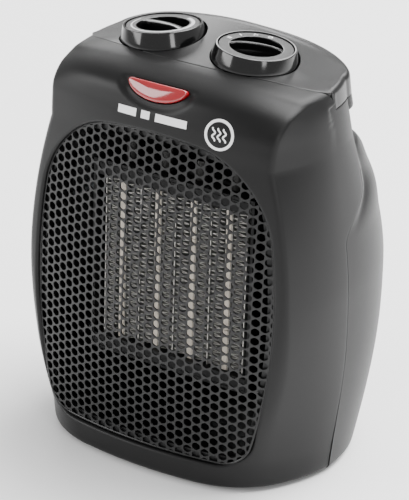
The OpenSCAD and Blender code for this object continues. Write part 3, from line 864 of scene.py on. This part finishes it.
def build_top_panel():
    half = []
    for x in PANEL_HALF_W * np.sin(np.linspace(0, math.pi / 2, 100)):
        half.append((x, float(panel_front(x)), float(ease(PANEL_HALF_W - 0.8, PANEL_HALF_W, x))))
    for y in np.linspace(PANEL_SIDE_Y, SEAM_TOP_Y, 12)[1:]:
        half.append((float(side_at(max(y, WIDEST_Y), np.float64(SIDE_TOP_Z - 5))), y, 1.0))
    x0, y0 = half[-1][0], half[-1][1]
    for k in range(1, 61):
        a = k / 60 * math.pi / 2
        half.append((x0 * math.cos(a) ** 0.8, y0 + (LIP_Y - y0) * math.sin(a) ** 0.8, 1.0))
    half = np.array(half)
    ring = np.vstack([half, (half[1:-1] * np.array([-1, 1, 1]))[::-1]])
    n = len(ring)
    step = np.roll(ring[:, :2], -1, 0) - np.roll(ring[:, :2], 1, 0)
    normal = np.stack([step[:, 1], -step[:, 0]], 1)
    normal /= np.linalg.norm(normal, axis=1)[:, None]
    along_front = ring[:, 1:2] < PANEL_SIDE_Y + 0.01
    normal = np.where(along_front, np.c_[np.sign(ring[:, 0]), np.zeros(n)], normal)
    fold = ring[:, 2]
    inner = ring[:, :2] - normal * (FOLD_R * fold)[:, None]
    middle = np.array([0.0, 2.0])
    rings = []
    for t in np.linspace(0.04, 1, 34):
        p = middle + (inner - middle) * t
        rings.append(np.c_[p, top_z(p[:, 0], p[:, 1])])
    edge_z = top_z(inner[:, 0], inner[:, 1])
    for k in range(1, 8):
        a = k / 7 * math.pi / 2
        p = inner + normal * (FOLD_R * fold * math.sin(a))[:, None]
        rings.append(np.c_[p, edge_z - FOLD_R * fold * (1 - math.cos(a))])
    for t in (0.25, 0.5, 0.75, 1.0):
        z0 = edge_z - FOLD_R * fold
        z = z0 + (PANEL_Z + GAP / 2 - z0) * fold * t
        p = inner + normal * (FOLD_R * fold + 0.9 * t * fold)[:, None]
        rings.append(np.c_[p, z])
    verts = [(middle[0], middle[1], float(top_z(middle[0], middle[1])))] + list(np.vstack(rings))
    faces = [(0, 1 + i, 1 + (i + 1) % n) for i in range(n)]
    faces += grid_faces(len(rings), n, close_cols=True, base=1)
    sheet = new_object("panel_sheet", verts, faces)
    outward(sheet)
    part = sheet_of(sheet)
    bpy.data.objects.remove(sheet)
    for s in (-1, 1):
        part = clip_sheet(*part, lambda p, s=s: control_distance(p, s) - BASE_R - GAP - EDGE_R)
    ob = thicken("top_panel_moulding", *part, WALL, lambda p: np.full(len(p), EDGE_R))
    sharpen(ob, 50)
    return finish(ob, "panel", replaces=("top_panel",))


def control_distance(p, side):
    """Distance of points from a control's axis."""
    m = np.array(at_control(side).inverted())
    q = p @ m[:3, :3].T + m[:3, 3]
    return np.hypot(q[:, 0], q[:, 1])


build_top_panel()

# ---------------------------------------------------------------- bezels and dials
BORE_R = 20.9
BEZEL_R = 22
BEZEL_H = 8
SKIRT = 14
DIAL_R = 20.4
DIAL_TOP = -0.6
WELL_R = 14.5
WELL_DEPTH = 9


def build_bezel(side, name, node):
    profile = [(BORE_R, 0), (BEZEL_R, 0), (BASE_R, -BEZEL_H), (BASE_R, -SKIRT), (17, -SKIRT),
               (17, -SKIRT + 1.6), (BORE_R, -SKIRT + 1.6)]
    profile = rounded(profile, [0.25, 0.7, 2, 0.3, 0.2, 0.2, 0.2], 6)
    verts, faces = lathe(profile, 160, at_control(side))
    ob = new_object(name, verts, faces)
    sharpen(ob, 40)
    return finish(ob, "gloss_black", replaces=(node,))


def dial_profile():
    wall = WELL_R + 1.5
    base = -WELL_DEPTH - 1.6
    profile = [(0.01, -WELL_DEPTH), (WELL_R, -WELL_DEPTH), (WELL_R, DIAL_TOP), (DIAL_R, DIAL_TOP),
               (DIAL_R, DIAL_TOP - 2), (wall, DIAL_TOP - 2), (wall, base), (5, base), (5, base - 5),
               (3.1, base - 5), (3.1, base + 0.4), (0.01, base + 0.4)]
    return rounded(profile, [0, 3.0, 0.5, 0.35, 0.2, 0.5, 0.3, 0.3, 0.3, 0, 0, 0], 7)


def bridge(length, width, turn, bow, rise, depth):
    """The arched grip across the well: a bar bowed sideways, rounded on top, curving down at its ends."""
    verts = []
    n = 41
    left = [(-0.5, -1.0), (-0.5, -0.12), (-0.42, -0.03), (-0.2, 0.0)]
    arc = left + [(-u, v) for u, v in left[::-1]]
    for i in range(n):
        t = -1 + 2 * i / (n - 1)
        along = t * length / 2
        side = bow * (1 - t * t)
        top = DIAL_TOP + rise * (1 - t**4) - 0.1
        flare = width * (1 + 0.5 * t**8)
        for u, v in arc:
            verts.append((along, side + u * flare, top + v * depth))
    m = len(arc)
    faces = grid_faces(n, m, close_cols=True)
    faces += [tuple(range(m))[::-1], tuple(range((n - 1) * m, n * m))]
    return placed(verts, Matrix.Rotation(math.radians(turn), 4, "Z")), faces


def build_dial(side, name, body, node, turn, width, bow, rise):
    verts, faces = lathe(dial_profile(), 160)
    ob = new_object(name, placed(verts, at_control(side)), faces)
    ob.data.materials.append(FINISH["gloss_black"])
    ob.data.materials.append(FINISH["satin_black"])
    sharpen(ob, 40)
    to_local = at_control(side).inverted()
    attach(ob, body)
    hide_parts(node)
    for p in ob.data.polygons:
        c = to_local @ (p.center / MM)
        r = math.hypot(c.x, c.y)
        p.material_index = 1 if (r > WELL_R + 0.45 and c.z > DIAL_TOP - 0.3) else 0
    bv, bf = bridge(2 * WELL_R + 0.8, width, turn, bow, rise, 7.0)
    grip = new_object(name + "_grip", placed(bv, at_control(side)), bf)
    sharpen(grip, 40)
    finish(grip, "gloss_black", body=body)
    return ob


build_bezel(-1, "thermostat_bezel_ring", "thermostat_bezel")
build_bezel(1, "mode_bezel_ring", "mode_bezel")
build_dial(-1, "thermostat_dial", "thermostat_control", "thermostat_knob", -12, 3.4, 2.2, 0.4)
build_dial(1, "mode_dial", "mode_control", "mode_knob", 23.5, 2.4, 3.0, 1.0)


def arc_strip(r_in, r_out, a0, a1, n, z0, z1):
    """A flat strip along an arc; the radii may be functions of the share along it."""
    verts, faces = [], []
    for i in range(n + 1):
        t = i / n
        a = math.radians(a0 + (a1 - a0) * t)
        ri, ro = r_in(t), r_out(t)
        for r, z in ((ri, z0), (ro, z0), (ro, z1), (ri, z1)):
            verts.append((r * math.cos(a), r * math.sin(a), z))
    faces = grid_faces(n + 1, 4, close_cols=True)
    faces += [(3, 2, 1, 0), tuple(n * 4 + k for k in range(4))]
    return verts, faces


INK_Z = (DIAL_TOP - 0.05, DIAL_TOP + 0.12)
RING_OUT = 17.7
ring_v, ring_f = arc_strip(lambda t: RING_OUT - 2.1 + 1.5 * t, lambda t: RING_OUT, 67, -190, 96, *INK_Z)
ring = new_object("thermostat_scale_ring", placed(ring_v, at_control(-1)), ring_f)
sharpen(ring)
finish(ring, "silver_trim", body="thermostat_control", replaces=("thermostat_dial_ring",))


MARK_R = 17.3
MARK_ANGLE = 97
MARK_STEP = 28


def mark_frame(k):
    return (at_control(1) @ Matrix.Rotation(math.radians(MARK_ANGLE + MARK_STEP * k), 4, "Z")
            @ Matrix.Translation((MARK_R, 0, 0)))


def build_marks():
    parts = []
    v, f = arc_strip(lambda t: 0.85, lambda t: 1.35, 0, 359.9, 32, *INK_Z)
    parts.append((placed(v, mark_frame(0)), f))
    for i in range(3):
        leaf = [(0.25 + 1.3 * t, 0.55 * math.sin(math.pi * t) + 0.25 * t) for t in np.linspace(0, 1, 9)]
        leaf += [(0.25 + 1.3 * t, -0.15 * math.sin(math.pi * t) + 0.25 * t)
                 for t in np.linspace(1, 0, 9)[1:-1]]
        v, f = plate(leaf, *INK_Z)
        parts.append((placed(v, mark_frame(1) @ Matrix.Rotation(math.radians(120 * i), 4, "Z")), f))
    for k, count in ((2, 1), (3, 2)):
        for j in range(count):
            y = (j - (count - 1) / 2) * 1.3
            v, f = plate([(-1.2, y - 0.28), (1.2, y - 0.28), (1.2, y + 0.28), (-1.2, y + 0.28)], *INK_Z)
            parts.append((placed(v, mark_frame(k)), f))
    ob = new_object("mode_marks", *join_parts(parts), smooth=False, merge=0.0005)
    return finish(ob, "white_ink", body="mode_control", replaces=("mode_dial_marks",))


build_marks()


# ---------------------------------------------------------------- indicator lens and its lamp
LENS_RIM = -0.7


def build_lens():
    """A domed half-moon: rings shrink towards its middle and rise to a soft crown."""
    out = lens_outline()
    n = len(out)
    mid = np.array([0.0, -LENS_H * 0.12])
    rings = [(1.0, -6.0), (1.0, LENS_RIM)]
    for k in range(1, 13):
        t = k / 12
        rings.append((1 - 0.92 * t**1.5, LENS_RIM + 1.9 * math.sqrt(1 - (1 - t) ** 2)))
    verts = []
    for s, h in rings:
        verts += [(mid[0] + (x - mid[0]) * s, mid[1] + (y - mid[1]) * s, h) for x, y in out]
    faces = grid_faces(len(rings), n, close_cols=True)
    faces += [tuple(range(n))[::-1], tuple(range((len(rings) - 1) * n, len(rings) * n))]
    ob = new_object("indicator_window", placed(verts, ON_BROW), faces)
    sharpen(ob, 50)
    return finish(ob, "lens_red", replaces=("indicator_lens",))


build_lens()


# ---------------------------------------------------------------- printing on the face
def on_skin(x, z, lift):
    """The point of the front surface straight behind (x, z), lifted off it."""
    hit, normal, _, _ = skin.ray_cast(Vector((x, -200, z)) * MM, Vector((0, 1, 0)))
    if normal.y > 0:
        normal = -normal
    return tuple(hit / MM + normal * lift)


INK_LIFT = 0.12


def ink(points_2d, faces):
    """Raised ink: a front copy of the flat shape, a back copy inside the wall and its edges."""
    front_pts = [on_skin(x, z, INK_LIFT) for x, z in points_2d]
    back_pts = [on_skin(x, z, -0.2) for x, z in points_2d]
    n = len(front_pts)
    edge_use = {}
    for f in faces:
        for a, b in zip(f, f[1:] + f[:1]):
            edge_use[(a, b)] = edge_use.get((a, b), 0) + 1
    sides = [(a, b, n + b, n + a) for (a, b) in edge_use if (b, a) not in edge_use]
    return front_pts + back_pts, list(faces) + [tuple(n + i for i in f[::-1]) for f in faces] + sides


def ink_band(line, width):
    """A band of constant width along a 2-D line."""
    line = np.array(line, float)
    d = np.gradient(line, axis=0)
    nrm = np.stack([-d[:, 1], d[:, 0]], 1) / np.linalg.norm(d, axis=1)[:, None]
    pts = np.vstack([line + nrm * width / 2, line - nrm * width / 2])
    n = len(line)
    return [tuple(p) for p in pts], [(i, i + 1, n + i + 1, n + i) for i in range(n - 1)]


WORDS = ((-15.5, 12), (-3.5, 5.5), (13, 20))
WORD_Z = 208.5
WORD_H = 4.2
RING_AT = (42.5, 207)
RING_R = 7.7


def build_marking():
    parts = []
    for x, w in WORDS:
        line = [(x + w * t, WORD_Z) for t in np.linspace(-0.5, 0.5, 15)]
        parts.append(ink(*ink_band(line, WORD_H)))
    ring_line = [(RING_AT[0] + RING_R * math.cos(a), RING_AT[1] + RING_R * math.sin(a))
                 for a in np.linspace(0, 2 * math.pi, 61)]
    parts.append(ink(*ink_band(ring_line, 1.5)))
    for k in (-1, 0, 1):
        line = [(RING_AT[0] + k * 3.1 + 0.8 * math.sin(t * 5.5), RING_AT[1] + 3.6 * t)
                for t in np.linspace(-1, 1, 25)]
        parts.append(ink(*ink_band(line, 0.9)))
    ob = new_object("face_printing", *join_parts(parts), smooth=False, merge=0.0005)
    return finish(ob, "white_ink", replaces=("front_marking",))


build_marking()

# ---------------------------------------------------------------- perforated grille
MESH_DEPTH = 2.3
MESH_T = 0.9
MESH_EDGE = 0.35
CELL_H = 5.4
CELL_W = 5.3
WIRE = 0.65


def face_normal(x, z):
    n = np.array([x / FACE_R, -1.0, 2 * FACE_LEAN * z])
    return n / np.linalg.norm(n)


def build_mesh():
    """Rounded hexagonal holes in staggered columns, bent to the curve of the face and cut to the opening."""
    corner = [(CELL_W * 2 / 3, 0), (CELL_W / 3, CELL_H / 2), (-CELL_W / 3, CELL_H / 2),
              (-CELL_W * 2 / 3, 0), (-CELL_W / 3, -CELL_H / 2), (CELL_W / 3, -CELL_H / 2)]
    shrink = 1 - (WIRE + 0.3) / CELL_H
    hole = rounded([(x * shrink, y * shrink) for x, y in corner], 0.95, 1)
    per = len(hole) // 6
    at, verts, normals, faces = {}, [], [], []
    def vertex(x, z):
        key = (round(x * 50), round(z * 50))
        if key not in at:
            at[key] = len(verts)
            verts.append(np.array([x, face_y(x, z) + MESH_DEPTH, z]))
            normals.append(face_normal(x, z))
        return at[key]
    cols = int(GRILLE_W / 2 / CELL_W) + 2
    rows = int((GRILLE_Z[1] - GRILLE_Z[0]) / CELL_H) + 3
    for c in range(-cols, cols + 1):
        for r in range(-1, rows):
            x = c * CELL_W
            z = GRILLE_Z[0] + (r + (c % 2) / 2) * CELL_H
            if opening_distance(np.float64(x), np.float64(z)) > CELL_H:
                continue
            inner = [vertex(x + hx, z + hz) for hx, hz in hole]
            outer = [vertex(x + hx, z + hz) for hx, hz in corner]
            for s in range(6):
                first = s * per
                for j in range(per - 1):
                    faces.append((outer[s], inner[first + j], inner[first + j + 1]))
                nxt = ((s + 1) % 6) * per
                faces.append((outer[s], inner[first + per - 1], inner[nxt], outer[(s + 1) % 6]))
    part = clip_sheet(verts, normals, faces,
                      lambda p: -MESH_EDGE - opening_distance(p[:, 0], p[:, 2]))
    ob = thicken("front_mesh", *part, MESH_T, lambda p: np.full(len(p), 0.15), steps=2)
    sharpen(ob, 60)
    finish(ob, "black_steel", replaces=("grille_mesh",))
    build_mesh_rim()


def build_mesh_rim():
    """The plain border of the mesh, pressed a little forward."""
    n = 240
    section = [(-MESH_EDGE, -0.1), (-MESH_EDGE, 1.1), (-1.5, 1.1), (-1.5, 0.0), (-1.2, -0.25), (-0.7, -0.25)]
    verts = []
    for grow, depth in section:
        for x, z in opening_outline(grow, n):
            verts.append((x, face_y(x, z) + MESH_DEPTH + depth, z))
    ob = new_object("front_mesh_border", verts, grid_faces(len(section), n, close_rows=True, close_cols=True))
    sharpen(ob, 40)
    return finish(ob, "black_steel")


build_mesh()


# ---------------------------------------------------------------- heater block
PTC_LEAN = 3
PTC_PITCH = 23.55
STRIP_W = 5
PLATE_T = 0.8
FIN_D = 16
PTC_H = 97
FIN_W = (PTC_PITCH - STRIP_W - PLATE_T) / 2
STONE_W = 3.4
FOLDS = 78
AT_HEATER = Matrix.Translation((0, -43.2, 107)) @ Matrix.Rotation(math.radians(-PTC_LEAN), 4, "X")


def box_part(x0, x1, y0, y1, z0, z1, soft=0.25):
    """A bar with softened long edges, as points and faces."""
    outline = rounded([(x0, y0), (x1, y0), (x1, y1), (x0, y1)], soft, 2)
    return plate(outline, z0, z1)


def build_heater():
    strips, fins, plates = [], [], []
    stones = 4
    for i in (-1.5, -0.5, 0.5, 1.5):
        x = i * PTC_PITCH
        for k in range(stones):
            z0 = -PTC_H / 2 + k * PTC_H / stones + 0.25
            z1 = z0 + PTC_H / stones - 0.5
            v, f = box_part(x - STONE_W / 2, x + STONE_W / 2, 0.2, FIN_D - 0.5, z0, z1, 0.4)
            strips.append((placed(v, AT_HEATER), f))
        for s in (-1, 1):
            v, f = box_part(x + s * STONE_W / 2 + (0.1 if s > 0 else -0.5),
                            x + s * STONE_W / 2 + (0.5 if s > 0 else -0.1),
                            0.8, FIN_D - 0.8, -PTC_H / 2, PTC_H / 2, 0.1)
            plates.append((placed(v, AT_HEATER), f))
            mid = x + s * (STRIP_W + FIN_W) / 2
            edge = FIN_W / 2 - 0.35
            line = [(mid + (edge if k % 2 else -edge), -PTC_H / 2 + 0.8 + (PTC_H - 1.6) * k / FOLDS)
                    for k in range(FOLDS + 1)]
            verts = []
            for x1, z1 in line:
                for y, dz in ((1, -0.14), (FIN_D - 1, -0.14), (FIN_D - 1, 0.14), (1, 0.14)):
                    verts.append((x1, y, z1 + dz))
            n = len(line)
            faces = grid_faces(n, 4, close_cols=True)
            faces += [(3, 2, 1, 0), tuple((n - 1) * 4 + k for k in range(4))]
            fins.append((placed(verts, AT_HEATER), faces))
    for i in range(-2, 3):
        x = i * PTC_PITCH
        v, f = box_part(x - PLATE_T / 2, x + PLATE_T / 2, 0.5, FIN_D - 0.5, -PTC_H / 2, PTC_H / 2, 0.2)
        plates.append((placed(v, AT_HEATER), f))
    finish(new_object("ceramic_stones", *join_parts(strips), smooth=False, merge=0.0005), "ceramic",
           slot="ceramic", replaces=("ptc_strips",))
    finish(new_object("corrugated_fins", *join_parts(fins), smooth=False, merge=0.0005), "aluminium_fin",
           replaces=("ptc_fins",))
    finish(new_object("spacer_plates", *join_parts(plates), smooth=False, merge=0.0005), "aluminium_fin",
           replaces=("ptc_plates",))


build_heater()

# ---------------------------------------------------------------- carried-over CAD nodes
LOOKS = {
    "grille_ring": "dark_plastic", "indicator_lamp": "lamp", "thermostat_shaft": "zinc_steel",
    "mode_shaft": "zinc_steel", "control_bracket": "zinc_steel", "thermostat_body": "white_sleeve",
    "rotary_switch_body": "dark_plastic", "heater_duct": "dark_plastic", "ptc_end_holders": "dark_plastic",
    # painted shade: the insulating sleeves, white in themselves, are coloured near-black for the shade they
    # sit in
    "ptc_terminals": "brass_tab", "insulating_sleeves": "sleeve_painted_shade", "thermal_cutout": "dark_plastic",
    "fan_shroud": "dark_plastic", "fan_impeller": "dark_plastic", "fan_shaft": "zinc_steel",
    "motor_rotor": "lamination", "motor_stator": "lamination", "motor_coil": "copper_coil",
    "motor_brackets": "zinc_steel", "motor_bearings": "bronze", "tip_switch_body": "dark_plastic",
    "tip_plunger": "natural_nylon", "tip_lever": "zinc_steel", "tip_spring": "zinc_steel",
    "terminal_block": "white_sleeve", "lead_wires": "red_insulation", "cord_gland": "gloss_black",
    "intake_filter": "dark_plastic", "rubber_feet": "rubber", "case_screws": "zinc_steel",
    "motor_screws": "zinc_steel",
}
for node_name, look in LOOKS.items():
    node_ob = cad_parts[node_name]
    node_ob.data.materials.clear()
    node_ob.data.materials.append(FINISH[look])

# ---------------------------------------------------------------- stage, light and camera
floor_v = [(-6000, -6000, 0), (6000, -6000, 0), (6000, 6000, 0), (-6000, 6000, 0)]
floor = new_object("floor", floor_v, [(0, 1, 2, 3)], smooth=False)
floor.data.materials.append(material("floor", (0.93, 0.93, 0.93), 0.8, vary=0.01, soil=0.1))


def area_light(name, at, to, size, power):
    data = bpy.data.lights.new(name, "AREA")
    data.shape = "RECTANGLE"
    data.size, data.size_y = size
    data.energy = power
    ob = bpy.data.objects.new(name, data)
    bpy.context.scene.collection.objects.link(ob)
    ob.location = at
    ob.rotation_mode = "QUATERNION"
    ob.rotation_quaternion = (Vector(to) - Vector(at)).to_track_quat("-Z", "Y")


area_light("overhead", (0.7, 1.2, 2.3), (0, 0, 0), (2.4, 2.0), 230)
area_light("back", (-1.5, 1.9, 1.35), (0, 0, 0.2), (1.5, 0.7), 26)
area_light("key", (-1.45, -1.25, 0.75), (0, 0, 0.2), (1.3, 0.7), 24)
area_light("strip", (1.25, -0.75, 0.62), (0, 0, 0.2), (0.28, 0.5), 4.5)

world = bpy.data.worlds.new("studio")
bpy.context.scene.world = world
world.use_nodes = True
background = next(n for n in world.node_tree.nodes if n.type == "BACKGROUND")
background.inputs["Color"].default_value = (1, 1, 1, 1)
background.inputs["Strength"].default_value = 0.75

AZIMUTH = math.radians(34.5)
ELEVATION = math.radians(25.5)
DISTANCE = 1.5
TARGET = Vector((-0.008887, 0, 0.1024))
back_dir = Vector((math.sin(AZIMUTH) * math.cos(ELEVATION), -math.cos(AZIMUTH) * math.cos(ELEVATION),
                   math.sin(ELEVATION)))
camera_data = bpy.data.cameras.new("camera")
camera_data.lens = 190
camera_data.sensor_width = 36
camera = bpy.data.objects.new("camera", camera_data)
bpy.context.scene.collection.objects.link(camera)
camera.location = TARGET + back_dir * DISTANCE
camera.rotation_mode = "QUATERNION"
camera.rotation_quaternion = (-back_dir).to_track_quat("-Z", "Y")
bpy.context.scene.camera = camera
